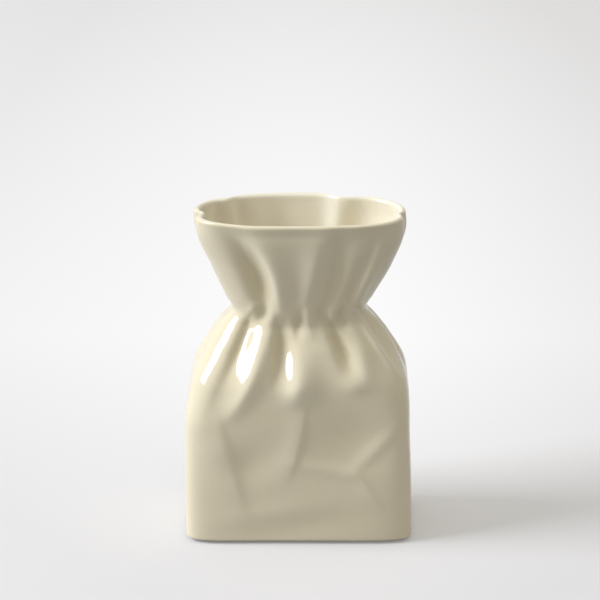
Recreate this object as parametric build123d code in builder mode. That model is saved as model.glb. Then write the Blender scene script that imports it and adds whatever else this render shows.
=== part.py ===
import math
import os
from build123d import *

os.makedirs("parts", exist_ok=True)

# A ceramic vase shaped like a paper bag gathered at the neck.
# Millimetres, +Z up, the front faces -Y, the origin is under the middle of the base on the table.

# Overall sizes, measured outside the glaze
HEIGHT = 210.0
BASE_WIDTH = 145.0
BASE_DEPTH = 74.0
BELLY_HEIGHT = 78.0
BELLY_WIDTH = 142.0
BELLY_DEPTH = 79.0
SHOULDER_HEIGHT = 104.0
SHOULDER_WIDTH = 135.4
SHOULDER_DEPTH = 75.0
NECK_HEIGHT = 148.5
NECK_WIDTH = 85.4
NECK_DEPTH = 49.0
NECK_SAG = 6.0
RIM_WIDTH = 131.0
RIM_DEPTH = 72.5

# Wall, floor and glaze
WALL = 4.2
FLOOR = 5.0
GLAZE = 0.5
GLAZE_CLEARANCE = 0.01
FOLD_SOFTENING = 0.3

# Foot
FOOT_GAP = 0.8
FOOT_EDGE_RADIUS = 3.0
GLAZE_STOP = 1.6
RECESS_DEPTH = 1.2
FOOT_RING_WIDTH = 8.0
RECESS_CORNER_RADIUS = 7.0
INSIDE_CORNER_RADIUS = 5.0

# Pads under the foot
PAD_DIAMETER = 10.0
PAD_CORNER_INSET = 10.0
PAD_EDGE_RADIUS = 0.5

# How finely the wall is drawn
POINTS_ROUND = 144
RING_SPACING = 3.2
LIP_RINGS = 5
LIP_TURN = 80.0


def mix(start, end, share):
    return start + (end - start) * share


def soft_step(low, high, value):
    share = min(1.0, max(0.0, (value - low) / (high - low)))
    return share * share * (3 - 2 * share)


def smooth_through(stations, z):
    """A curve through (height, size) stations that never swings past them."""
    heights = [station[0] for station in stations]
    sizes = [station[1] for station in stations]
    last = len(stations) - 1
    gaps = [heights[i + 1] - heights[i] for i in range(last)]
    rates = [(sizes[i + 1] - sizes[i]) / gaps[i] for i in range(last)]
    slopes = [rates[0]] + [0.0] * (last - 1) + [rates[-1]]
    for i in range(1, last):
        if rates[i - 1] * rates[i] > 0:
            first = 2 * gaps[i] + gaps[i - 1]
            second = gaps[i] + 2 * gaps[i - 1]
            slopes[i] = (first + second) / (first / rates[i - 1] + second / rates[i])
    k = max(i for i in range(last) if heights[i] <= z or i == 0)
    s = min(1.0, max(0.0, (z - heights[k]) / gaps[k]))
    lower = sizes[k] * (1 + 2 * s) * (1 - s) ** 2 + slopes[k] * gaps[k] * s * (1 - s) ** 2
    upper = sizes[k + 1] * s * s * (3 - 2 * s) + slopes[k + 1] * gaps[k] * s * s * (s - 1)
    return lower + upper


# Full width, full depth, squareness and sideways lean of the bag at each height
SLOPE_MIDDLE = mix(SHOULDER_HEIGHT, NECK_HEIGHT, 0.5)
COLLAR_MIDDLE = mix(NECK_HEIGHT, HEIGHT, 0.5)
FRONT_NECK = NECK_HEIGHT - NECK_SAG
WIDTHS = [
    (0, BASE_WIDTH),
    (BELLY_HEIGHT / 2, mix(BASE_WIDTH, BELLY_WIDTH, 0.4)),
    (BELLY_HEIGHT, BELLY_WIDTH),
    (SHOULDER_HEIGHT, SHOULDER_WIDTH),
    (SLOPE_MIDDLE, mix(SHOULDER_WIDTH, NECK_WIDTH, 0.40)),
    (NECK_HEIGHT - 9, mix(NECK_WIDTH, SHOULDER_WIDTH, 0.27)),
    (NECK_HEIGHT, NECK_WIDTH),
    (NECK_HEIGHT + 9, mix(NECK_WIDTH, RIM_WIDTH, 0.21)),
    (COLLAR_MIDDLE, mix(NECK_WIDTH, RIM_WIDTH, 0.68)),
    (HEIGHT - 8, RIM_WIDTH + 0.6),
    (HEIGHT, RIM_WIDTH),
]
DEPTHS = [
    (0, BASE_DEPTH),
    (BELLY_HEIGHT / 2, mix(BASE_DEPTH, BELLY_DEPTH, 0.7)),
    (BELLY_HEIGHT, BELLY_DEPTH),
    (SHOULDER_HEIGHT, SHOULDER_DEPTH),
    (SLOPE_MIDDLE, mix(SHOULDER_DEPTH, NECK_DEPTH, 0.45)),
    (FRONT_NECK - 6.5, mix(NECK_DEPTH, SHOULDER_DEPTH, 0.21)),
    (FRONT_NECK, NECK_DEPTH),
    (FRONT_NECK + 9, mix(NECK_DEPTH, RIM_DEPTH, 0.14)),
    (COLLAR_MIDDLE, mix(NECK_DEPTH, RIM_DEPTH, 0.55)),
    (HEIGHT, RIM_DEPTH),
]
FRONT_SQUARENESS = [
    (0, 9.0),
    (BELLY_HEIGHT, 7.0),
    (SHOULDER_HEIGHT, 5.0),
    (SLOPE_MIDDLE, 3.2),
    (NECK_HEIGHT, 2.4),
    (HEIGHT, 3.0),
]
BACK_SQUARENESS = FRONT_SQUARENESS[:-1] + [(HEIGHT, 2.2)]
LEAN = [
    (0, 0.0),
    (BELLY_HEIGHT, -1.2),
    (SHOULDER_HEIGHT, -0.3),
    (NECK_HEIGHT, -0.8),
    (HEIGHT - 30, 0.6),
    (HEIGHT, -0.5),
]

# Folds: side of the bag, then three (across, above the neck) points from top to bottom,
# then the half-widths left and right of the line at its top and at its bottom,
# then how far it stands out (or is pressed in), and where along the line that is greatest.
FOLDS = [
    # collar, front
    ("front", (-50, 67), (-29, 31), (-21, -8), (10, 10, 4.5, 4), -7.0, 0.55),
    ("front", (-34, 68), (-17, 32), (-9, -8), (8, 12, 4, 5), 3.8, 0.55),
    ("front", (13, 63), (8, 37), (2, -8), (9, 7, 3, 3), 2.0, 0.50),
    ("front", (27, 72), (21, 30), (13, -8), (7, 9, 3, 3), -3.8, 0.60),
    ("front", (52, 61), (36, 28), (27, -8), (5, 4, 3, 3), -2.2, 0.60),
    ("front", (58, 63), (41, 28), (31, -8), (4, 7, 3, 4), 2.4, 0.60),
    # pinches round the neck, front
    ("front", (-27.5, 12), (-28, 0), (-31, -12), (3.5, 3, 4, 4), 1.6, 0.50),
    ("front", (-21, 10), (-21.5, 2), (-24, -8), (3, 3, 3, 3), -0.8, 0.50),
    ("front", (1.5, 10), (0, -4), (0, -18), (2.8, 2.8, 3, 3), -2.4, 0.50),
    ("front", (6.5, 12), (6, -1), (9, -16), (2.8, 2.8, 3, 3), 1.2, 0.50),
    ("front", (13, 12), (13, 2), (14, -8), (3, 3, 3, 3), -1.8, 0.50),
    ("front", (20, 10), (20, -2), (20, -14), (3, 3, 3, 3), 1.2, 0.50),
    ("front", (27, 8), (27, -3), (29, -14), (3, 3, 3, 3), -2.4, 0.50),
    # shoulder, front
    ("front", (-24, 8), (-36.5, -18), (-46, -46), (3.2, 6, 5, 7), -5.0, 0.42),
    ("front", (-36, -14), (-46, -38), (-56, -66), (5, 7, 6, 8), -1.6, 0.50),
    ("front", (-40, -20), (-56, -50), (-64, -84), (9, 6, 10, 7), 0.8, 0.50),
    ("front", (-15, 8), (-24, -24), (-46, -70), (5, 4.5, 6.5, 9), 3.5, 0.58),
    ("front", (-12.5, 6), (-12, -17), (-15, -48), (3, 5, 3.6, 8), -4.4, 0.54),
    ("front", (-3, 6), (1, -26), (-5, -58), (5, 9, 8, 11), 2.6, 0.70),
    ("front", (12, 6), (23, -13), (33, -38), (3, 4, 5, 5), -5.8, 0.60),
    ("front", (24, 8), (38, -20), (42, -48), (4, 5, 6, 7), 2.2, 0.52),
    ("front", (30, 8), (48.5, -21), (67, -46), (2.0, 1.7, 2.2, 2.0), 2.7, 0.48),
    ("front", (40, 8), (54, -16), (69, -40), (1.8, 1.7, 2.0, 2.0), 1.7, 0.50),
    # body, front
    ("front", (-55, -48), (-43, -93), (-34, -140), (16, 3.5, 14, 5), 1.7, 0.50),
    ("front", (3, -46), (0, -80), (-12, -112), (9, 2.4, 9, 4), 1.5, 0.50),
    ("front", (32, -92), (42, -108), (55, -128), (7, 3, 7, 3), 0.8, 0.50),
    # gussets
    ("left", (-9, 92), (-5, 32), (-2, -16), (6, 6, 4, 4), -6.5, 0.45),
    ("right", (-12, 92), (-6, 32), (-2, -16), (4, 4, 4, 4), -3.2, 0.45),
    ("left", (2, 10), (4, -26), (4, -70), (5, 5, 8, 8), -3.4, 0.45),
    ("right", (2, 10), (3, -26), (3, -70), (5, 5, 8, 8), -3.0, 0.45),
    # collar, back
    ("back", (31, 102), (24, 42), (11, -8), (11, 15, 4, 6), -8.0, 0.45),
    ("back", (-46, 90), (-41, 36), (-24, -8), (5, 5, 4, 4), -3.4, 0.50),
    ("back", (-14, 64), (-9, 30), (-6, -8), (10, 9, 4, 4), 2.2, 0.55),
    ("back", (-28, 62), (-20, 28), (-14, -8), (6, 7, 3, 3), -2.4, 0.60),
    # pinches round the neck, back
    ("back", (-4, 10), (-3, -3), (-2, -16), (3, 3, 3, 3), -2.4, 0.50),
    ("back", (16, 10), (18, -3), (20, -16), (3, 3, 3, 3), -2.2, 0.50),
    ("back", (-24, 10), (-25, -3), (-28, -14), (3, 3, 3, 3), -2.2, 0.50),
    # shoulder, back
    ("back", (20, 8), (34, -24), (48, -60), (4, 5, 7, 8), -4.0, 0.45),
    ("back", (12, 8), (18, -26), (26, -62), (4, 4, 8, 7), 3.2, 0.52),
    ("back", (3, 6), (4, -18), (8, -46), (3, 3, 5, 5), -3.0, 0.45),
    ("back", (-10, 8), (-14, -24), (-20, -58), (5, 5, 8, 8), 2.8, 0.55),
    ("back", (-22, 8), (-36, -24), (-50, -60), (4, 5, 7, 8), -3.6, 0.45),
    ("back", (-30, 8), (-48, -24), (-62, -56), (4, 4, 6, 6), 2.0, 0.50),
]

# Dents: side of the bag, (across, above the table) centre, half-width and half-height, tilt, depth.
DENTS = [
    ("front", (-48, 200), (14, 9), -30, -1.0),
    ("front", (-10, 203.5), (30, 3.6), 0, -0.6),
    ("front", (37, 201), (12, 7), 20, -1.2),
    ("front", (-4, 131), (12, 9), 0, -1.8),
    ("front", (1, 106), (10, 12), 0, 2.8),
    ("front", (34, 107), (8, 6), 0, 1.2),
    ("front", (-31, 56), (15, 11), 10, -2.0),
    ("front", (34, 73), (29, 22), 0, -4.0),
    ("front", (19, 52), (24, 5), -12, 1.1),
    ("front", (47, 64), (18, 5), 46, 1.2),
    ("front", (0, 12), (34, 8), 10, -0.9),
    ("front", (-20, 22), (34, 7), 10, 0.6),
    ("front", (74, 0), (14, 60), 0, -1.2),
    ("back", (19, 105), (11, 13), 0, 2.9),
    ("back", (-26, 66), (26, 20), 12, -2.8),
    ("back", (30, 40), (28, 14), -14, -2.4),
    ("back", (12, 66), (9, 28), 24, 1.1),
    ("back", (4, 24), (40, 9), 8, 0.8),
    ("left", (-6, 60), (14, 28), 0, -2.1),
    ("right", (6, 52), (14, 28), 0, -2.1),
]


def fold_height(row, across, z):
    """How far one fold lifts the wall at a place on its side of the bag."""
    side, top, middle, bottom, half_widths, lift, peak = row
    above = z - NECK_HEIGHT
    if not bottom[1] < above < top[1]:
        return 0.0
    (x0, z0), (x1, z1), (x2, z2) = top, middle, bottom
    line = x0 * (above - z1) * (above - z2) / ((z0 - z1) * (z0 - z2))
    line += x1 * (above - z0) * (above - z2) / ((z1 - z0) * (z1 - z2))
    line += x2 * (above - z0) * (above - z1) / ((z2 - z0) * (z2 - z1))
    down = (z0 - above) / (z0 - z2)
    from_peak = (down - peak) / (peak if down < peak else 1 - peak)
    left = mix(half_widths[0], half_widths[2], down)
    right = mix(half_widths[1], half_widths[3], down)
    offset = (across - line) / (left if across < line else right)
    return lift * (1 - from_peak ** 2) ** 2 * math.exp(-offset ** 2)


def dent_height(row, across, z):
    """How far one dent lifts the wall at a place on its side of the bag."""
    side, centre, radii, tilt, lift = row
    turn = math.radians(tilt)
    dx = across - centre[0]
    dz = z - centre[1]
    u = (dx * math.cos(turn) + dz * math.sin(turn)) / radii[0]
    v = (dz * math.cos(turn) - dx * math.sin(turn)) / radii[1]
    return lift * math.exp(-u * u - v * v)


def ring(z, inset):
    """The closed outline of the wall at one height, a given depth inside the glazed surface."""
    a_rate = (smooth_through(WIDTHS, z + 0.5) - smooth_through(WIDTHS, z - 0.5)) / 2
    b_rate = (smooth_through(DEPTHS, z + 0.5) - smooth_through(DEPTHS, z - 0.5)) / 2
    a = smooth_through(WIDTHS, z) / 2 - inset * math.sqrt(1 + a_rate ** 2)
    b = smooth_through(DEPTHS, z) / 2 - inset * math.sqrt(1 + b_rate ** 2)
    front_n = smooth_through(FRONT_SQUARENESS, z)
    back_n = smooth_through(BACK_SQUARENESS, z)
    shift = smooth_through(LEAN, z)
    points = []
    for i in range(POINTS_ROUND):
        turn = 2 * math.pi * i / POINTS_ROUND
        c = math.cos(turn)
        s = math.sin(turn)
        n = front_n if s < 0 else back_n
        reach = (abs(c) ** n + abs(s) ** n) ** (-1 / n)
        x = a * reach * c
        y = b * reach * s
        nx = math.copysign(abs(c * reach) ** (n - 1) / a, c)
        ny = math.copysign(abs(s * reach) ** (n - 1) / b, s)
        size = math.hypot(nx, ny)
        nx /= size
        ny /= size
        faces = {
            "front": soft_step(0.02, 0.35, -s),
            "back": soft_step(0.02, 0.35, s),
            "left": soft_step(0.3, 0.8, -c),
            "right": soft_step(0.3, 0.8, c),
        }
        lift = 0.0
        for row in FOLDS:
            if faces[row[0]] > 0:
                across = x if row[0] in ("front", "back") else y
                lift += faces[row[0]] * fold_height(row, across, z)
        for row in DENTS:
            if faces[row[0]] > 0:
                across = x if row[0] in ("front", "back") else y
                lift += faces[row[0]] * dent_height(row, across, z)
        lift *= 1 - FOLD_SOFTENING * min(1.0, inset / WALL)
        points.append((x + nx * lift + shift, y + ny * lift))
    return points


def outline(z, inset):
    """The same outline as a chain of arcs, one for each quarter of the way round."""
    points = ring(z, inset)
    quarter = POINTS_ROUND // 4
    arcs = []
    for start in range(0, POINTS_ROUND, quarter):
        numbers = [(start + i) % POINTS_ROUND for i in range(quarter + 1)]
        headings = []
        for number in (numbers[0], numbers[-1]):
            before = points[number - 1]
            after = points[(number + 1) % POINTS_ROUND]
            reach = quarter / 2
            headings.append(Vector(after[0] - before[0], after[1] - before[1], 0) * reach)
        arcs.append(
            Edge.make_spline(
                [(*points[number], z) for number in numbers],
                tangents=headings,
                parameters=[i / quarter for i in range(quarter + 1)],
                scale=False,
            )
        )
    return arcs


def rounded_foot(z, radius, bottom):
    """How far a rounded bottom edge draws the wall in at a height."""
    rest = radius - (z - bottom)
    return radius - math.sqrt(radius * radius - rest * rest) if rest > 0 else 0.0


def heights_between(low, high):
    """Heights of the outlines, drawn closer together near both ends."""
    count = round((high - low) / RING_SPACING)
    shares = []
    for i in range(count + 1):
        even = i / count
        shares.append(mix(even, (1 - math.cos(math.pi * even)) / 2, 0.8))
    return [mix(low, high, share) for share in shares]


def outside_rings(bottom, skin):
    """Heights and insets of the outlines from the foot up to the crest of the lip."""
    edge_top = FOOT_GAP + FOOT_EDGE_RADIUS
    lip = WALL / 2 - skin
    lip_base = HEIGHT - skin - lip
    rows = []
    for i in range(6):
        z = edge_top - (edge_top - bottom) * math.cos(math.pi / 2 * i / 6)
        rows.append((z, skin + rounded_foot(z, FOOT_EDGE_RADIUS, FOOT_GAP)))
    rows += [(z, skin) for z in heights_between(edge_top, lip_base)]
    for i in range(1, LIP_RINGS + 1):
        turn = math.radians(LIP_TURN * i / LIP_RINGS)
        rows.append((lip_base + lip * math.sin(turn), WALL / 2 - lip * math.cos(turn)))
    return rows


def inside_rings(skin):
    """Heights and insets of the outlines from the floor up to the crest of the lip."""
    floor_top = FOOT_GAP + RECESS_DEPTH + FLOOR - skin
    corner_top = floor_top + INSIDE_CORNER_RADIUS
    lip = WALL / 2 - skin
    lip_base = HEIGHT - skin - lip
    rows = []
    for i in range(6):
        z = corner_top - INSIDE_CORNER_RADIUS * math.cos(math.pi / 2 * i / 6)
        rows.append((z, WALL - skin + rounded_foot(z, INSIDE_CORNER_RADIUS, floor_top)))
    rows += [(z, WALL - skin) for z in heights_between(corner_top, lip_base)]
    for i in range(1, LIP_RINGS + 1):
        turn = math.radians(LIP_TURN * i / LIP_RINGS)
        rows.append((lip_base + lip * math.sin(turn), WALL / 2 + lip * math.cos(turn)))
    return rows


def solid_through(rows):
    """One smooth solid through a stack of outlines, keeping their four arcs as four faces."""
    sections = [Face(Wire(outline(z, inset))) for z, inset in rows]
    with BuildPart() as form:
        loft(sections, clean=False)
    return form.part


GLAZE_FOOT = FOOT_GAP + GLAZE_STOP
clay_cavity = solid_through(inside_rings(GLAZE))
glazed_cavity = solid_through(inside_rings(0.0))

# Clay body: wall, floor and a foot ring round a shallow recess
with BuildPart() as clay_body:
    add(solid_through(outside_rings(FOOT_GAP, GLAZE)), clean=False)
    add(clay_cavity, mode=Mode.SUBTRACT, clean=False)
    with BuildSketch(Plane.XY.offset(FOOT_GAP)):
        RectangleRounded(
            BASE_WIDTH - 2 * FOOT_RING_WIDTH,
            BASE_DEPTH - 2 * FOOT_RING_WIDTH,
            RECESS_CORNER_RADIUS,
        )
    extrude(amount=RECESS_DEPTH, mode=Mode.SUBTRACT, clean=False)
clay_body.part.label = "clay_body"
export_step(clay_body.part, "parts/clay_body.step")

# Outer glaze: the coat over the outside and the lip, stopping just above the foot ring
with BuildPart() as outer_glaze:
    add(solid_through(outside_rings(GLAZE_FOOT, 0.0)), clean=False)
    add(glazed_cavity, mode=Mode.SUBTRACT, clean=False)
    add(
        solid_through(outside_rings(GLAZE_FOOT, GLAZE - GLAZE_CLEARANCE)),
        mode=Mode.SUBTRACT,
        clean=False,
    )
outer_glaze.part.label = "outer_glaze"
export_step(outer_glaze.part, "parts/outer_glaze.step")

# Liner glaze: the coat poured inside, from the floor up to the lip
with BuildPart() as liner_glaze:
    add(clay_cavity, clean=False)
    add(glazed_cavity, mode=Mode.SUBTRACT, clean=False)
liner_glaze.part.label = "liner_glaze"
export_step(liner_glaze.part, "parts/liner_glaze.step")

# Foot pads: clear silicone dots stuck in the corners of the recess, what the vase stands on
PAD_X = BASE_WIDTH / 2 - FOOT_RING_WIDTH - PAD_CORNER_INSET
PAD_Y = BASE_DEPTH / 2 - FOOT_RING_WIDTH - PAD_CORNER_INSET
CORNERS = {
    "front_left": (-PAD_X, -PAD_Y),
    "front_right": (PAD_X, -PAD_Y),
    "back_left": (-PAD_X, PAD_Y),
    "back_right": (PAD_X, PAD_Y),
}
for corner, place in CORNERS.items():
    with BuildPart() as foot_pad:
        with BuildSketch(Plane.XY):
            with Locations(place):
                Circle(PAD_DIAMETER / 2)
        extrude(amount=FOOT_GAP + RECESS_DEPTH)
        fillet(foot_pad.edges().group_by(Axis.Z)[0], PAD_EDGE_RADIUS)
    foot_pad.part.label = "foot_pad_" + corner
    export_step(foot_pad.part, "parts/foot_pad_" + corner + ".step")
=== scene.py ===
# %% [markdown]
# # A glazed vase in the shape of a gathered paper bag
# The vase is one casting of pale clay under a glossy cream glaze, standing on four soft pads.
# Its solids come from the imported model, so this lesson starts by loading them as a fixed frame.
# Everything here is placed in that frame, in metres, and nothing in it is moved.

import math

import bpy
import numpy as np
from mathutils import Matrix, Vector


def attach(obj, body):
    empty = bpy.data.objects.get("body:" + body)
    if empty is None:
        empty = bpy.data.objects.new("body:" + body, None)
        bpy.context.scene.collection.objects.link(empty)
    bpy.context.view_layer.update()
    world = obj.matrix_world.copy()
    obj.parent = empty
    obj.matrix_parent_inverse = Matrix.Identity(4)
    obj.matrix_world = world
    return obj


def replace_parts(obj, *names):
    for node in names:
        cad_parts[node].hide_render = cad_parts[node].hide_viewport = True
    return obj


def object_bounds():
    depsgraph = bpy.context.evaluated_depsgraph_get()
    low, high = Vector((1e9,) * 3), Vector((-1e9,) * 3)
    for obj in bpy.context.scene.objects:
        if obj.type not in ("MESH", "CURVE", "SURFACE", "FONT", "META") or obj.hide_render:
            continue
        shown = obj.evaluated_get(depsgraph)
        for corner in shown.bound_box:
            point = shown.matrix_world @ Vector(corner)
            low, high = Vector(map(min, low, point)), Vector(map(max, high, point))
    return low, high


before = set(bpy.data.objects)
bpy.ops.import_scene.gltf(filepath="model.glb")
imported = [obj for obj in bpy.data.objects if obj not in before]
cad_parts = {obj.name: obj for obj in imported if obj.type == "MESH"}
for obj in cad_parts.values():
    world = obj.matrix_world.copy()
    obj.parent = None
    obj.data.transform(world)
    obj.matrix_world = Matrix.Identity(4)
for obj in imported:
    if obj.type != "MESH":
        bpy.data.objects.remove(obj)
cad_low, cad_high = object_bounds()
print("solids:", sorted(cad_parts))
print("box in mm:", [round(1000 * v, 2) for v in (*cad_low, *cad_high)])

# %% [markdown]
# ## Sizes of the bag
# A maker would start from a few widths and depths up the bag: base, belly, shoulder, neck and rim.
# They are written in millimetres, the way they would be measured with callipers.
# They are turned into metres only when the mesh is made.

# %% Sizes
HEIGHT = 210.0
BASE = (145.0, 74.0)
BELLY_HEIGHT, BELLY = 78.0, (142.0, 79.0)
SHOULDER_HEIGHT, SHOULDER = 104.0, (135.4, 75.0)
NECK_HEIGHT, NECK = 148.5, (85.4, 49.0)
NECK_SAG = 6.0
RIM = (131.0, 72.5)
WALL = 4.2
GLAZE = 0.5
FOLD_SOFTENING = 0.3
FOOT_GAP = 0.8
FOOT_EDGE_RADIUS = 3.0
GLAZE_FOOT = FOOT_GAP + 1.6
FLOOR_TOP = FOOT_GAP + 1.2 + 5.0
INSIDE_CORNER_RADIUS = 5.0
print("bag:", HEIGHT, "mm high,", BASE[0], "mm wide at the base,", NECK[0], "mm at the neck")


def mix(start, end, share):
    return start + (end - start) * share


# %% [markdown]
# ## A smooth line up the side
# Straight runs between the sizes would leave kinks that a glossy glaze shows at once.
# A cubic curve would be smooth but can swing past its points and make the neck too thin.
# The curve below is also cubic, with slopes chosen so that it never overshoots.

# %% Profile curves


def smooth_through(stations, z):
    heights, sizes = np.array(stations, float).T
    gaps = np.diff(heights)
    rates = np.diff(sizes) / gaps
    slopes = np.concatenate([rates[:1], np.zeros(len(rates) - 1), rates[-1:]])
    for i in range(1, len(rates)):
        if rates[i - 1] * rates[i] > 0:
            first = 2 * gaps[i] + gaps[i - 1]
            second = gaps[i] + 2 * gaps[i - 1]
            slopes[i] = (first + second) / (first / rates[i - 1] + second / rates[i])
    k = np.clip(np.searchsorted(heights, z) - 1, 0, len(gaps) - 1)
    s = np.clip((z - heights[k]) / gaps[k], 0, 1)
    lower = sizes[k] * (1 + 2 * s) * (1 - s) ** 2 + slopes[k] * gaps[k] * s * (1 - s) ** 2
    upper = sizes[k + 1] * s * s * (3 - 2 * s) + slopes[k + 1] * gaps[k] * s * s * (s - 1)
    return lower + upper


SLOPE_MIDDLE = mix(SHOULDER_HEIGHT, NECK_HEIGHT, 0.5)
COLLAR_MIDDLE = mix(NECK_HEIGHT, HEIGHT, 0.5)
FRONT_NECK = NECK_HEIGHT - NECK_SAG
WIDTHS = [
    (0, BASE[0]),
    (BELLY_HEIGHT / 2, mix(BASE[0], BELLY[0], 0.4)),
    (BELLY_HEIGHT, BELLY[0]),
    (SHOULDER_HEIGHT, SHOULDER[0]),
    (SLOPE_MIDDLE, mix(SHOULDER[0], NECK[0], 0.40)),
    (NECK_HEIGHT - 9, mix(NECK[0], SHOULDER[0], 0.27)),
    (NECK_HEIGHT, NECK[0]),
    (NECK_HEIGHT + 9, mix(NECK[0], RIM[0], 0.21)),
    (COLLAR_MIDDLE, mix(NECK[0], RIM[0], 0.68)),
    (HEIGHT - 8, RIM[0] + 0.6),
    (HEIGHT, RIM[0]),
]
DEPTHS = [
    (0, BASE[1]),
    (BELLY_HEIGHT / 2, mix(BASE[1], BELLY[1], 0.7)),
    (BELLY_HEIGHT, BELLY[1]),
    (SHOULDER_HEIGHT, SHOULDER[1]),
    (SLOPE_MIDDLE, mix(SHOULDER[1], NECK[1], 0.45)),
    (FRONT_NECK - 6.5, mix(NECK[1], SHOULDER[1], 0.21)),
    (FRONT_NECK, NECK[1]),
    (FRONT_NECK + 9, mix(NECK[1], RIM[1], 0.14)),
    (COLLAR_MIDDLE, mix(NECK[1], RIM[1], 0.55)),
    (HEIGHT, RIM[1]),
]
FRONT_SQUARENESS = [
    (0, 9.0),
    (BELLY_HEIGHT, 7.0),
    (SHOULDER_HEIGHT, 5.0),
    (SLOPE_MIDDLE, 3.2),
    (NECK_HEIGHT, 2.4),
    (HEIGHT, 3.0),
]
BACK_SQUARENESS = FRONT_SQUARENESS[:-1] + [(HEIGHT, 2.2)]
LEAN = [
    (0, 0.0),
    (BELLY_HEIGHT, -1.2),
    (SHOULDER_HEIGHT, -0.3),
    (NECK_HEIGHT, -0.8),
    (HEIGHT - 30, 0.6),
    (HEIGHT, -0.5),
]
print("width at the slope's middle:", round(float(smooth_through(WIDTHS, SLOPE_MIDDLE)), 1), "mm")

# %% [markdown]
# ## Folds
# Drawing a bag in at the neck throws its wall into pleats.
# They run up into the collar and down over the shoulder.
# They could be sculpted by hand, but a table keeps each pleat a thing that can be moved or deepened alone.
# A row gives the side and three (across, above the neck) points from top to bottom.
# Then come the half-widths to the left and right, at the top and at the bottom.
# Last are how far the fold stands out, and where along it that is greatest.

# %% Fold table
FOLDS = [
    # collar, front
    ("front", (-50, 67), (-29, 31), (-21, -8), (10, 10, 4.5, 4), -7.0, 0.55),
    ("front", (-34, 68), (-17, 32), (-9, -8), (8, 12, 4, 5), 3.8, 0.55),
    ("front", (13, 63), (8, 37), (2, -8), (9, 7, 3, 3), 2.0, 0.50),
    ("front", (27, 72), (21, 30), (13, -8), (7, 9, 3, 3), -3.8, 0.60),
    ("front", (52, 61), (36, 28), (27, -8), (5, 4, 3, 3), -2.2, 0.60),
    ("front", (58, 63), (41, 28), (31, -8), (4, 7, 3, 4), 2.4, 0.60),
    # pinches round the neck, front
    ("front", (-27.5, 12), (-28, 0), (-31, -12), (3.5, 3, 4, 4), 1.6, 0.50),
    ("front", (-21, 10), (-21.5, 2), (-24, -8), (3, 3, 3, 3), -0.8, 0.50),
    ("front", (1.5, 10), (0, -4), (0, -18), (2.8, 2.8, 3, 3), -2.4, 0.50),
    ("front", (6.5, 12), (6, -1), (9, -16), (2.8, 2.8, 3, 3), 1.2, 0.50),
    ("front", (13, 12), (13, 2), (14, -8), (3, 3, 3, 3), -1.8, 0.50),
    ("front", (20, 10), (20, -2), (20, -14), (3, 3, 3, 3), 1.2, 0.50),
    ("front", (27, 8), (27, -3), (29, -14), (3, 3, 3, 3), -2.4, 0.50),
    # shoulder, front
    ("front", (-24, 8), (-36.5, -18), (-46, -46), (3.2, 6, 5, 7), -5.0, 0.42),
    ("front", (-36, -14), (-46, -38), (-56, -66), (5, 7, 6, 8), -1.6, 0.50),
    ("front", (-40, -20), (-56, -50), (-64, -84), (9, 6, 10, 7), 0.8, 0.50),
    ("front", (-15, 8), (-24, -24), (-46, -70), (5, 4.5, 6.5, 9), 3.5, 0.58),
    ("front", (-12.5, 6), (-12, -17), (-15, -48), (3, 5, 3.6, 8), -4.4, 0.54),
    ("front", (-3, 6), (1, -26), (-5, -58), (5, 9, 8, 11), 2.6, 0.70),
    ("front", (12, 6), (23, -13), (33, -38), (3, 4, 5, 5), -5.8, 0.60),
    ("front", (24, 8), (38, -20), (42, -48), (4, 5, 6, 7), 2.2, 0.52),
    ("front", (30, 8), (48.5, -21), (67, -46), (2.0, 1.7, 2.2, 2.0), 2.7, 0.48),
    ("front", (40, 8), (54, -16), (69, -40), (1.8, 1.7, 2.0, 2.0), 1.7, 0.50),
    # body, front
    ("front", (-55, -48), (-43, -93), (-34, -140), (16, 3.5, 14, 5), 1.7, 0.50),
    ("front", (3, -46), (0, -80), (-12, -112), (9, 2.4, 9, 4), 1.5, 0.50),
    ("front", (32, -92), (42, -108), (55, -128), (7, 3, 7, 3), 0.8, 0.50),
    # gussets
    ("left", (-9, 92), (-5, 32), (-2, -16), (6, 6, 4, 4), -6.5, 0.45),
    ("right", (-12, 92), (-6, 32), (-2, -16), (4, 4, 4, 4), -3.2, 0.45),
    ("left", (2, 10), (4, -26), (4, -70), (5, 5, 8, 8), -3.4, 0.45),
    ("right", (2, 10), (3, -26), (3, -70), (5, 5, 8, 8), -3.0, 0.45),
    # collar, back
    ("back", (31, 102), (24, 42), (11, -8), (11, 15, 4, 6), -8.0, 0.45),
    ("back", (-46, 90), (-41, 36), (-24, -8), (5, 5, 4, 4), -3.4, 0.50),
    ("back", (-14, 64), (-9, 30), (-6, -8), (10, 9, 4, 4), 2.2, 0.55),
    ("back", (-28, 62), (-20, 28), (-14, -8), (6, 7, 3, 3), -2.4, 0.60),
    # pinches round the neck, back
    ("back", (-4, 10), (-3, -3), (-2, -16), (3, 3, 3, 3), -2.4, 0.50),
    ("back", (16, 10), (18, -3), (20, -16), (3, 3, 3, 3), -2.2, 0.50),
    ("back", (-24, 10), (-25, -3), (-28, -14), (3, 3, 3, 3), -2.2, 0.50),
    # shoulder, back
    ("back", (20, 8), (34, -24), (48, -60), (4, 5, 7, 8), -4.0, 0.45),
    ("back", (12, 8), (18, -26), (26, -62), (4, 4, 8, 7), 3.2, 0.52),
    ("back", (3, 6), (4, -18), (8, -46), (3, 3, 5, 5), -3.0, 0.45),
    ("back", (-10, 8), (-14, -24), (-20, -58), (5, 5, 8, 8), 2.8, 0.55),
    ("back", (-22, 8), (-36, -24), (-50, -60), (4, 5, 7, 8), -3.6, 0.45),
    ("back", (-30, 8), (-48, -24), (-62, -56), (4, 4, 6, 6), 2.0, 0.50),
]
print("folds:", len(FOLDS))


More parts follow.
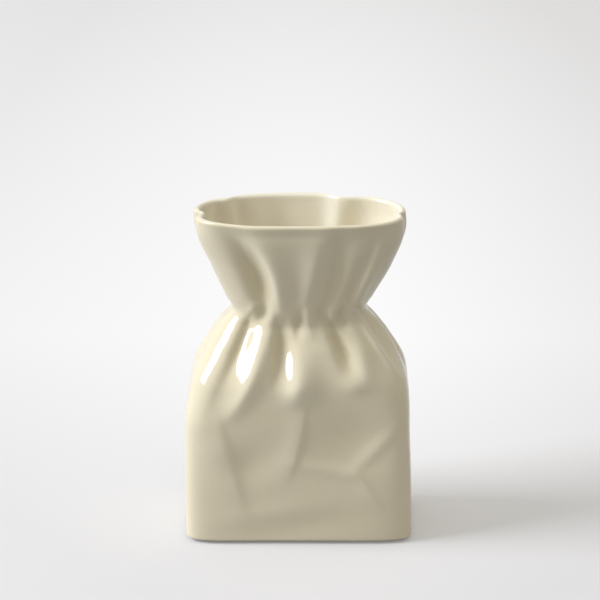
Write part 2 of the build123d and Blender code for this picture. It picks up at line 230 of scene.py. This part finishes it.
def fold_height(row, across, z):
    _, top, middle, bottom, half_widths, lift, peak = row
    above = z - NECK_HEIGHT
    (x0, z0), (x1, z1), (x2, z2) = top, middle, bottom
    line = x0 * (above - z1) * (above - z2) / ((z0 - z1) * (z0 - z2))
    line = line + x1 * (above - z0) * (above - z2) / ((z1 - z0) * (z1 - z2))
    line = line + x2 * (above - z0) * (above - z1) / ((z2 - z0) * (z2 - z1))
    down = np.clip((z0 - above) / (z0 - z2), 0, 1)
    from_peak = (down - peak) / np.where(down < peak, peak, 1 - peak)
    left = mix(half_widths[0], half_widths[2], down)
    right = mix(half_widths[1], half_widths[3], down)
    offset = (across - line) / np.where(across < line, left, right)
    return lift * (1 - from_peak**2) ** 2 * np.exp(-(offset**2))


# %% [markdown]
# ## Dents
# The flat panels of a full paper bag are never quite flat.
# Modelling each panel by hand would be slow to change, so a second table holds their dents.
# Each row presses in, or raises, one soft oval.
# It gives the side, the (across, above the table) centre, half-width and half-height, tilt and height.

# %% Dent table
DENTS = [
    ("front", (-48, 200), (14, 9), -30, -1.0),
    ("front", (-10, 203.5), (30, 3.6), 0, -0.6),
    ("front", (37, 201), (12, 7), 20, -1.2),
    ("front", (-4, 131), (12, 9), 0, -1.8),
    ("front", (1, 106), (10, 12), 0, 2.8),
    ("front", (34, 107), (8, 6), 0, 1.2),
    ("front", (-31, 56), (15, 11), 10, -2.0),
    ("front", (34, 73), (29, 22), 0, -4.0),
    ("front", (19, 52), (24, 5), -12, 1.1),
    ("front", (47, 64), (18, 5), 46, 1.2),
    ("front", (0, 12), (34, 8), 10, -0.9),
    ("front", (-20, 22), (34, 7), 10, 0.6),
    ("front", (74, 0), (14, 60), 0, -1.2),
    ("back", (19, 105), (11, 13), 0, 2.9),
    ("back", (-26, 66), (26, 20), 12, -2.8),
    ("back", (30, 40), (28, 14), -14, -2.4),
    ("back", (12, 66), (9, 28), 24, 1.1),
    ("back", (4, 24), (40, 9), 8, 0.8),
    ("left", (-6, 60), (14, 28), 0, -2.1),
    ("right", (6, 52), (14, 28), 0, -2.1),
]
print("dents:", len(DENTS))


def dent_height(row, across, z):
    _, centre, radii, tilt, lift = row
    turn = math.radians(tilt)
    dx, dz = across - centre[0], z - centre[1]
    u = (dx * math.cos(turn) + dz * math.sin(turn)) / radii[0]
    v = (dz * math.cos(turn) - dx * math.sin(turn)) / radii[1]
    return lift * np.exp(-u * u - v * v)


# %% [markdown]
# ## The wall as one formula
# Each level of the bag is a rounded rectangle.
# It is drawn with a power curve whose squareness falls towards the neck.
# The folds then lift it along its own outward direction.
# A depth below the glazed surface draws the level inwards.
# That gives the inside of the wall from the same formula.

# %% Wall formula
PANEL_BLEND = (0.02, 0.35)
GUSSET_BLEND = (0.3, 0.8)


def soft_step(low, high, value):
    share = np.clip((value - low) / (high - low), 0, 1)
    return share * share * (3 - 2 * share)


def wall(turn, z, inset):
    a_rate = (smooth_through(WIDTHS, z + 0.5) - smooth_through(WIDTHS, z - 0.5)) / 2
    b_rate = (smooth_through(DEPTHS, z + 0.5) - smooth_through(DEPTHS, z - 0.5)) / 2
    a = smooth_through(WIDTHS, z) / 2 - inset * np.sqrt(1 + a_rate**2)
    b = smooth_through(DEPTHS, z) / 2 - inset * np.sqrt(1 + b_rate**2)
    c, s = np.cos(turn), np.sin(turn)
    n = np.where(s < 0, smooth_through(FRONT_SQUARENESS, z), smooth_through(BACK_SQUARENESS, z))
    reach = (np.abs(c) ** n + np.abs(s) ** n) ** (-1 / n)
    x, y = a * reach * c, b * reach * s
    nx = np.sign(c) * np.abs(c * reach) ** (n - 1) / a
    ny = np.sign(s) * np.abs(s * reach) ** (n - 1) / b
    size = np.hypot(nx, ny)
    shares = {
        "front": soft_step(*PANEL_BLEND, -s),
        "back": soft_step(*PANEL_BLEND, s),
        "left": soft_step(*GUSSET_BLEND, -c),
        "right": soft_step(*GUSSET_BLEND, c),
    }
    lift = np.zeros_like(x)
    for rows, height in ((FOLDS, fold_height), (DENTS, dent_height)):
        for row in rows:
            across = x if row[0] in ("front", "back") else y
            lift = lift + shares[row[0]] * height(row, across, z)
    lift = lift * (1 - FOLD_SOFTENING * np.clip(inset / WALL, 0, 1))
    points = np.stack([x + lift * nx / size + smooth_through(LEAN, z), y + lift * ny / size, z], -1)
    return points, lift


one_point, _ = wall(np.array([-math.pi / 2]), np.array([FRONT_NECK]), np.array([0.0]))
print("front of the neck is", round(-one_point[0, 1], 1), "mm from the middle")

# %% [markdown]
# ## Levels from the foot, over the lip, to the floor inside
# The glaze is one long skin: up the outside, over a rounded lip and down the inside.
# Making it as one stack of levels lets the light roll over the lip with no seam.
# The stack is cut at the crest afterwards, because the outside is dipped and the inside is poured.

# %% Stack of levels
ROUND_COUNT = 432
GLAZE_EDGE_COUNT, FOOT_COUNT = 6, 7
OUTSIDE_COUNT, LIP_COUNT, INSIDE_COUNT, CORNER_COUNT = 300, 9, 200, 10
FLOOR_SHARES = (0.8, 0.55, 0.3, 0.12, 0.02)
QUARTER = math.pi / 2
EDGE_TOP = FOOT_GAP + FOOT_EDGE_RADIUS
CORNER_TOP = FLOOR_TOP + INSIDE_CORNER_RADIUS
LIP = WALL / 2
LIP_BASE = HEIGHT - LIP
LIP_RISE = 1000 * cad_high.z - LIP_BASE


def rounded_foot(z, radius, bottom):
    rest = np.clip(radius - (z - bottom), 0, radius)
    return radius - np.sqrt(radius * radius - rest * rest)


def glaze_edge(k):
    return GLAZE_FOOT + GLAZE * (1 - math.cos(k)), GLAZE * (1 - math.sin(k))


def over_lip(k):
    return LIP_BASE + LIP_RISE * math.sin(k), LIP - LIP * math.cos(k)


def inside_corner(k):
    inset = WALL + INSIDE_CORNER_RADIUS * (1 - math.cos(k))
    return CORNER_TOP - INSIDE_CORNER_RADIUS * math.sin(k), inset


foot_levels = [glaze_edge(k) for k in np.linspace(0, QUARTER, GLAZE_EDGE_COUNT)]
foot_levels += [(z, 0.0) for z in np.linspace(GLAZE_FOOT + GLAZE, EDGE_TOP, FOOT_COUNT)[1:-1]]
levels = [(z, inset + float(rounded_foot(z, FOOT_EDGE_RADIUS, FOOT_GAP))) for z, inset in foot_levels]
levels += [(z, 0.0) for z in np.linspace(EDGE_TOP, LIP_BASE, OUTSIDE_COUNT)]
levels += [over_lip(k) for k in np.linspace(0, QUARTER, LIP_COUNT)[1:]]
crest = len(levels) - 1
levels += [over_lip(k) for k in np.linspace(QUARTER, math.pi, LIP_COUNT)[1:]]
levels += [(z, WALL) for z in np.linspace(LIP_BASE, CORNER_TOP, INSIDE_COUNT)[1:]]
levels += [inside_corner(k) for k in np.linspace(0, QUARTER, CORNER_COUNT)[1:]]

turns = np.linspace(0, 2 * math.pi, ROUND_COUNT, endpoint=False)
level_z = np.array([level[0] for level in levels])[:, None]
level_inset = np.array([level[1] for level in levels])[:, None]
skin, skin_lift = wall(*np.broadcast_arrays(turns[None, :], level_z, level_inset))
centre = skin[-1].mean(0)
floor_rings = [centre + (skin[-1] - centre) * share for share in FLOOR_SHARES]
skin = np.concatenate([skin, floor_rings]) / 1000
skin_lift = np.concatenate([skin_lift, np.zeros((len(floor_rings), ROUND_COUNT))])
print("levels:", len(skin), "with", ROUND_COUNT, "points each, crest of the lip at level", crest)

# %% [markdown]
# ## Which way the surface faces
# A glossy coat shows every error in its normals, above all where two pieces of mesh meet.
# Blender could work them out for each piece alone, but a line would then show at the crest of the lip.
# They are worked out once on the whole skin, from the slopes round it and up it.
# Each piece then takes its share.

# %% Normals
step_up = np.linalg.norm(np.diff(skin, axis=0), axis=2).mean(1)
along = np.concatenate([[0], np.cumsum(step_up)])
slope_up = np.gradient(skin, along, axis=0)
slope_round = np.roll(skin, -1, axis=1) - np.roll(skin, 1, axis=1)
facing = np.cross(slope_round, slope_up)
facing /= np.linalg.norm(facing, axis=2, keepdims=True)
print("normals:", facing.shape[0] * facing.shape[1])

# %% [markdown]
# ## Two coats of glaze
# A helper turns a run of levels into a mesh of quads and carries along how deep each point lies in a fold.
# The finish reads that number later, because melted glaze runs off the ridges and gathers in the creases; the
# darker colour it gives the creases is also painted shade.

# %% Coat pieces
# Fold depth at which the crease colour is fullest, for pooled glaze and painted shade.
FULL_POOL_AND_SHADE = 5.0


def coat(name, first, last, close):
    points = skin[first : last + 1]
    numbers = np.arange(points.shape[0] * ROUND_COUNT).reshape(-1, ROUND_COUNT)
    beside = np.roll(numbers, -1, axis=1)
    quads = np.stack([numbers[:-1], beside[:-1], beside[1:], numbers[1:]], -1).reshape(-1, 4).tolist()
    if close:
        quads.append(numbers[-1].tolist())
    mesh = bpy.data.meshes.new(name)
    mesh.from_pydata(points.reshape(-1, 3).tolist(), [], quads)
    mesh.shade_smooth()
    pooled_and_shaded = mesh.attributes.new("pooled_and_shaded", "FLOAT", "POINT")
    # Depth in a fold sets how dark the glaze colour is there: partly pooled glaze, partly painted shade.
    pool_depth_and_shade = np.clip(-skin_lift[first : last + 1] / FULL_POOL_AND_SHADE, -1, 1)
    pooled_and_shaded.data.foreach_set("value", pool_depth_and_shade.astype(np.float32).ravel())
    mesh.normals_split_custom_set_from_vertices(facing[first : last + 1].reshape(-1, 3).tolist())
    piece = bpy.data.objects.new(name, mesh)
    bpy.context.scene.collection.objects.link(piece)
    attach(piece, "root")
    print(name, "has", len(mesh.polygons), "faces")
    return piece


dipped_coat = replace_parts(coat("dipped_outer_coat", 0, crest, False), "outer_glaze")
poured_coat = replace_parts(coat("poured_inner_coat", crest, len(skin) - 1, True), "liner_glaze")

# %% [markdown]
# ## Writing finishes as sums
# Node trees are easier to read as arithmetic than as boxes and lines.
# This class wraps one socket, and sums on it add Math nodes.
# Any other node comes from its add method, which takes the node's type, settings and sockets.

# %% Node helper


class Wire:
    def __init__(self, tree, socket=None):
        self.tree, self.socket = tree, socket

    def add(self, kind, settings=(), sockets=(), out=0):
        node = self.tree.nodes.new(kind)
        for name, value in dict(settings).items():
            setattr(node, name, value)
        for name, value in dict(sockets).items():
            if isinstance(value, Wire):
                self.tree.links.new(value.socket, node.inputs[name])
            else:
                node.inputs[name].default_value = value
        return Wire(self.tree, node.outputs[out]) if node.outputs else node

    def sum(self, operation, first, second):
        return self.add("ShaderNodeMath", {"operation": operation}, {0: first, 1: second})

    def __add__(self, other):
        return self.sum("ADD", self, other)

    __radd__ = __add__

    def __mul__(self, other):
        return self.sum("MULTIPLY", self, other)

    __rmul__ = __mul__

    def __sub__(self, other):
        return self.sum("SUBTRACT", self, other)

    def __rsub__(self, other):
        return self.sum("SUBTRACT", other, self)

    def over(self, low):
        return self.sum("MAXIMUM", self, low)

    def under(self, high):
        return self.sum("MINIMUM", self, high)


def between(wire, share, first, second, how="MIX"):
    first, second = (end if isinstance(end, Wire) else (*end, 1) for end in (first, second))
    settings = {"data_type": "RGBA", "blend_type": how}
    return wire.add("ShaderNodeMix", settings, {0: share, 6: first, 7: second}, 2)


def finish(name):
    material = bpy.data.materials.new(name)
    material.use_nodes = True
    material.node_tree.nodes.clear()
    return material, Wire(material.node_tree)


def surface(wire, sockets):
    shader = wire.add("ShaderNodeBsdfPrincipled", (), sockets)
    wire.add("ShaderNodeOutputMaterial", (), {"Surface": shader})


print("node helper ready")

# %% [markdown]
# ## Cream glaze
# The glaze is a glassy, slightly warm cream.
# It pools a little deeper in the creases and breaks paler on the ridges, and the darker crease colour is also
# painted shade.
# Its skin has the faint ripple that melted glass keeps.
# A flat colour would look like plastic, so colour, gloss and ripple each vary a little.
# A light sheen lifts the edges that turn away, standing in for light that scatters in the coat.

# %% Glaze finish


def cream_glaze(name, thin, deep_and_shaded):
    cream, wire = finish(name)
    place = wire.add("ShaderNodeTexCoord", out="Object")
    pooling_and_shade = wire.add("ShaderNodeAttribute", {"attribute_name": "pooled_and_shaded"}, out="Fac")
    drift = wire.add("ShaderNodeTexNoise", (), {"Vector": place, "Scale": 22.0, "Detail": 3.0}, "Fac")
    ripple = wire.add("ShaderNodeTexNoise", (), {"Vector": place, "Scale": 260.0, "Detail": 1.0}, "Fac")
    # Painted shade: the colour turns to the deep one in the creases, partly for pooled glaze and partly for
    # the shade there.
    pool_depth_and_shade = (0.5 + 0.32 * pooling_and_shade + 0.5 * (drift - 0.5)).over(0.0).under(1.0)
    surface(wire, {
        "Base Color": between(wire, pool_depth_and_shade, thin, deep_and_shaded),
        "Roughness": 0.055 + 0.05 * drift,
        "Normal": wire.add("ShaderNodeBump", (), {"Height": ripple, "Strength": 0.02, "Distance": 0.0004}),
        "IOR": 1.52,
        "Sheen Weight": 0.25,
        "Sheen Roughness": 0.45,
    })
    print(name, "nodes:", len(cream.node_tree.nodes))
    return cream


# The deep colours are darker both for pooled glaze and for painted shade in the creases.
dipped_glaze = cream_glaze("dipped_cream", (0.785, 0.708, 0.508), (0.695, 0.612, 0.398))
# The poured inside cream is paler than the dipped outside cream: painted light that brightens the inside.
lit_poured_glaze = cream_glaze("lit_poured_cream", (0.835, 0.775, 0.610), (0.790, 0.725, 0.545))
dipped_coat.data.materials.append(dipped_glaze)
poured_coat.data.materials.append(lit_poured_glaze)

# %% [markdown]
# ## Bare clay and soft pads
# The foot ring is wiped clean of glaze before firing, so the clay there is matt and faintly sandy.
# The pads are cast silicone, milky and satin.
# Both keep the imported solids' shapes and only take a better finish.

# %% Clay and silicone finishes
clay, wire = finish("fired_clay")
place = wire.add("ShaderNodeTexCoord", out="Object")
sand = wire.add("ShaderNodeTexNoise", (), {"Vector": place, "Scale": 900.0, "Detail": 4.0}, "Fac")
blush = wire.add("ShaderNodeTexNoise", (), {"Vector": place, "Scale": 35.0, "Detail": 2.0}, "Fac")
surface(wire, {
    "Base Color": between(wire, (0.6 * sand + 0.4 * blush), (0.50, 0.43, 0.33), (0.74, 0.67, 0.55)),
    "Roughness": 0.82 + 0.12 * sand,
    "Normal": wire.add("ShaderNodeBump", (), {"Height": sand, "Strength": 0.25, "Distance": 0.0002}),
})
silicone, wire = finish("milky_silicone")
place = wire.add("ShaderNodeTexCoord", out="Object")
haze = wire.add("ShaderNodeTexNoise", (), {"Vector": place, "Scale": 500.0, "Detail": 2.0}, "Fac")
surface(wire, {
    "Base Color": between(wire, haze, (0.66, 0.66, 0.64), (0.78, 0.78, 0.76)),
    "Roughness": 0.38 + 0.14 * haze,
    "IOR": 1.41,
})
for node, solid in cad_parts.items():
    finish_of_node = dipped_glaze
    if node == "clay_body":
        finish_of_node = clay
    elif node.startswith("foot_pad"):
        finish_of_node = silicone
    solid.data.materials.clear()
    solid.data.materials.append(finish_of_node)
    print(node, "takes", finish_of_node.name)

# %% [markdown]
# ## A pale floor
# A product photograph often stands the object on a white sweep.
# A brightly lit white floor would flood the vase from below, so this one has two tones.
# The camera and mirror-like surfaces see a pale sheet with a painted glow, light that fades outwards and to
# the front.
# All other light meets a grey with a painted pool of light, lighter beside the lit side of the vase and
# darker further off.
# The sheet still catches the shadow.

# %% Floor
FLOOR_REACH = 20
floor_mesh = bpy.data.meshes.new("pale_floor")
floor_corners = [(FLOOR_REACH * x, FLOOR_REACH * y, 0) for x, y in ((-1, -1), (1, -1), (1, 1), (-1, 1))]
floor_mesh.from_pydata(floor_corners, [], [(0, 1, 2, 3)])
floor = bpy.data.objects.new("pale_floor", floor_mesh)
bpy.context.scene.collection.objects.link(floor)


def seen_directly(wire):
    kinds = ("Is Camera Ray", "Is Glossy Ray", "Is Transmission Ray")
    rays = [wire.add("ShaderNodeLightPath", out=kind) for kind in kinds]
    return rays[0].over(rays[1]).over(rays[2])


GLOW_STRETCH, GLOW_SHIFT = (3.6, 0.7, 0), (-0.1, -0.2, 0)
GLOW_FRONT = 0.33
LIT_SPOT = (-0.16, -0.04, 0)
paper, wire = finish("pale_paper")
seen = seen_directly(wire)
spot = wire.add("ShaderNodeTexCoord", out="Object")
stretching = {0: spot, 1: GLOW_STRETCH, 2: GLOW_SHIFT}
reach = wire.add("ShaderNodeVectorMath", {"operation": "MULTIPLY_ADD"}, stretching)
away = wire.add("ShaderNodeVectorMath", {"operation": "LENGTH"}, {0: reach}, "Value")
nearer = (GLOW_FRONT - wire.add("ShaderNodeSeparateXYZ", (), {"Vector": spot}, "Y")).over(0.0)
# Painted light: the sheet's glow is brightest near the vase and fades outwards and to the front.
fading = 0.6 * away.under(1.3) + 1.6 * nearer
painted_glow = between(wire, fading, (0.345, 0.347, 0.352), (0.125, 0.124, 0.126))
# Painted light: the grey is lighter beside the lit side of the vase, so more light bounces up from there.
lit_side = wire.add("ShaderNodeVectorMath", {"operation": "DISTANCE"}, {0: spot, 1: LIT_SPOT}, "Value")
further = (1.7 * lit_side - 0.2).over(0.0).under(1.0)
painted_bounce = between(wire, further, (0.51, 0.51, 0.51), (0.20, 0.20, 0.20))
surface(wire, {
    "Base Color": between(wire, seen, painted_bounce, (0.568, 0.556, 0.532)),
    "Emission Color": between(wire, seen, (0, 0, 0), painted_glow),
    "Emission Strength": 1.0,
    "Roughness": 1.0,
    "Specular IOR Level": 0.0,
})
floor_mesh.materials.append(paper)
print("floor nodes:", len(paper.node_tree.nodes))

# %% [markdown]
# ## The room around it
# The room gives the soft light that fills the shadows, and one tone from all sides would look flat.
# A picture of a studio could be wrapped round the scene, but a few sums keep it plain and soft.
# The room is a little warm, dim at the sides and bright overhead.
# It is slightly brighter to the right and has a cooler wash from the left.
# The camera and mirror-like surfaces see one pale grey instead, so the background stays plain.

# %% Room
room = bpy.data.worlds.new("room")
bpy.context.scene.world = room
room.use_nodes = True
room.node_tree.nodes.clear()
wire = Wire(room.node_tree)
heading = wire.add("ShaderNodeTexCoord", out="Generated")
upward = wire.add("ShaderNodeSeparateXYZ", (), {"Vector": heading}, "Z").over(0.0)
sideways = wire.add("ShaderNodeSeparateXYZ", (), {"Vector": heading}, "X")
brightness = upward * upward * upward + 0.24 * sideways.over(0.0)
sky = between(wire, brightness, (0.262, 0.253, 0.240), (1.12, 1.10, 1.06))
leftward = (0.0 - sideways).over(0.0)
sky = between(wire, leftward, sky, (0.20, 0.22, 0.27), "ADD")
air = wire.add("ShaderNodeBackground", (), {
    "Color": between(wire, seen_directly(wire), sky, (0.80, 0.80, 0.80)),
    "Strength": 1.0,
})
wire.add("ShaderNodeOutputWorld", (), {"Surface": air})
print("room nodes:", len(room.node_tree.nodes))

# %% [markdown]
# ## One soft window
# The photograph is lit by one broad light from the left, a little in front and above.
# A sun lamp would give hard shadows, and a point lamp would give round glints.
# A rectangular area light gives a soft shadow to the right and long glints on the pleats.
# It is a little cool against the warmer room, which keeps the lit side pale and the shadow warm.

# %% Light
KEY_ELEVATION, KEY_FORWARD, KEY_DISTANCE = math.radians(34), math.radians(9), 4.0
KEY_AIM = Vector((0, 0, 0.1))
window = bpy.data.lights.new("window", "AREA")
window.shape = "RECTANGLE"
window.size, window.size_y = 1.75, 2.25
window.energy = 158
window.color = (0.94, 0.985, 1.13)
window_object = bpy.data.objects.new("window", window)
bpy.context.scene.collection.objects.link(window_object)
window_object.location = KEY_DISTANCE * Vector((
    -math.cos(KEY_ELEVATION) * math.cos(KEY_FORWARD),
    -math.cos(KEY_ELEVATION) * math.sin(KEY_FORWARD),
    math.sin(KEY_ELEVATION),
))
window_object.rotation_euler = (KEY_AIM - window_object.location).to_track_quat("-Z", "Y").to_euler()
print("window at", [round(v, 2) for v in window_object.location])

# %% [markdown]
# ## Camera
# The rim shows as a shallow oval, which puts the camera about 20 degrees above the table.
# The sides stay nearly upright, so it stands well back with a long lens.

# %% Camera
CAMERA_DISTANCE, CAMERA_ELEVATION = 1.464, math.radians(20)
SENSOR_WIDTH, IMAGE_WIDTH, METRES_PER_PIXEL = 36, 600, 0.000626
aim = Vector((0, 0.0059, 0.1484))
lens = bpy.data.cameras.new("camera")
camera = bpy.data.objects.new("camera", lens)
bpy.context.scene.collection.objects.link(camera)
camera.location = aim + CAMERA_DISTANCE * Vector((0, -math.cos(CAMERA_ELEVATION), math.sin(CAMERA_ELEVATION)))
camera.rotation_euler = (aim - camera.location).to_track_quat("-Z", "Y").to_euler()
lens.sensor_width = SENSOR_WIDTH
lens.lens = SENSOR_WIDTH * CAMERA_DISTANCE / (IMAGE_WIDTH * METRES_PER_PIXEL)
bpy.context.scene.camera = camera
bpy.context.scene.view_settings.view_transform = "Standard"
print("lens", round(lens.lens, 1), "mm")
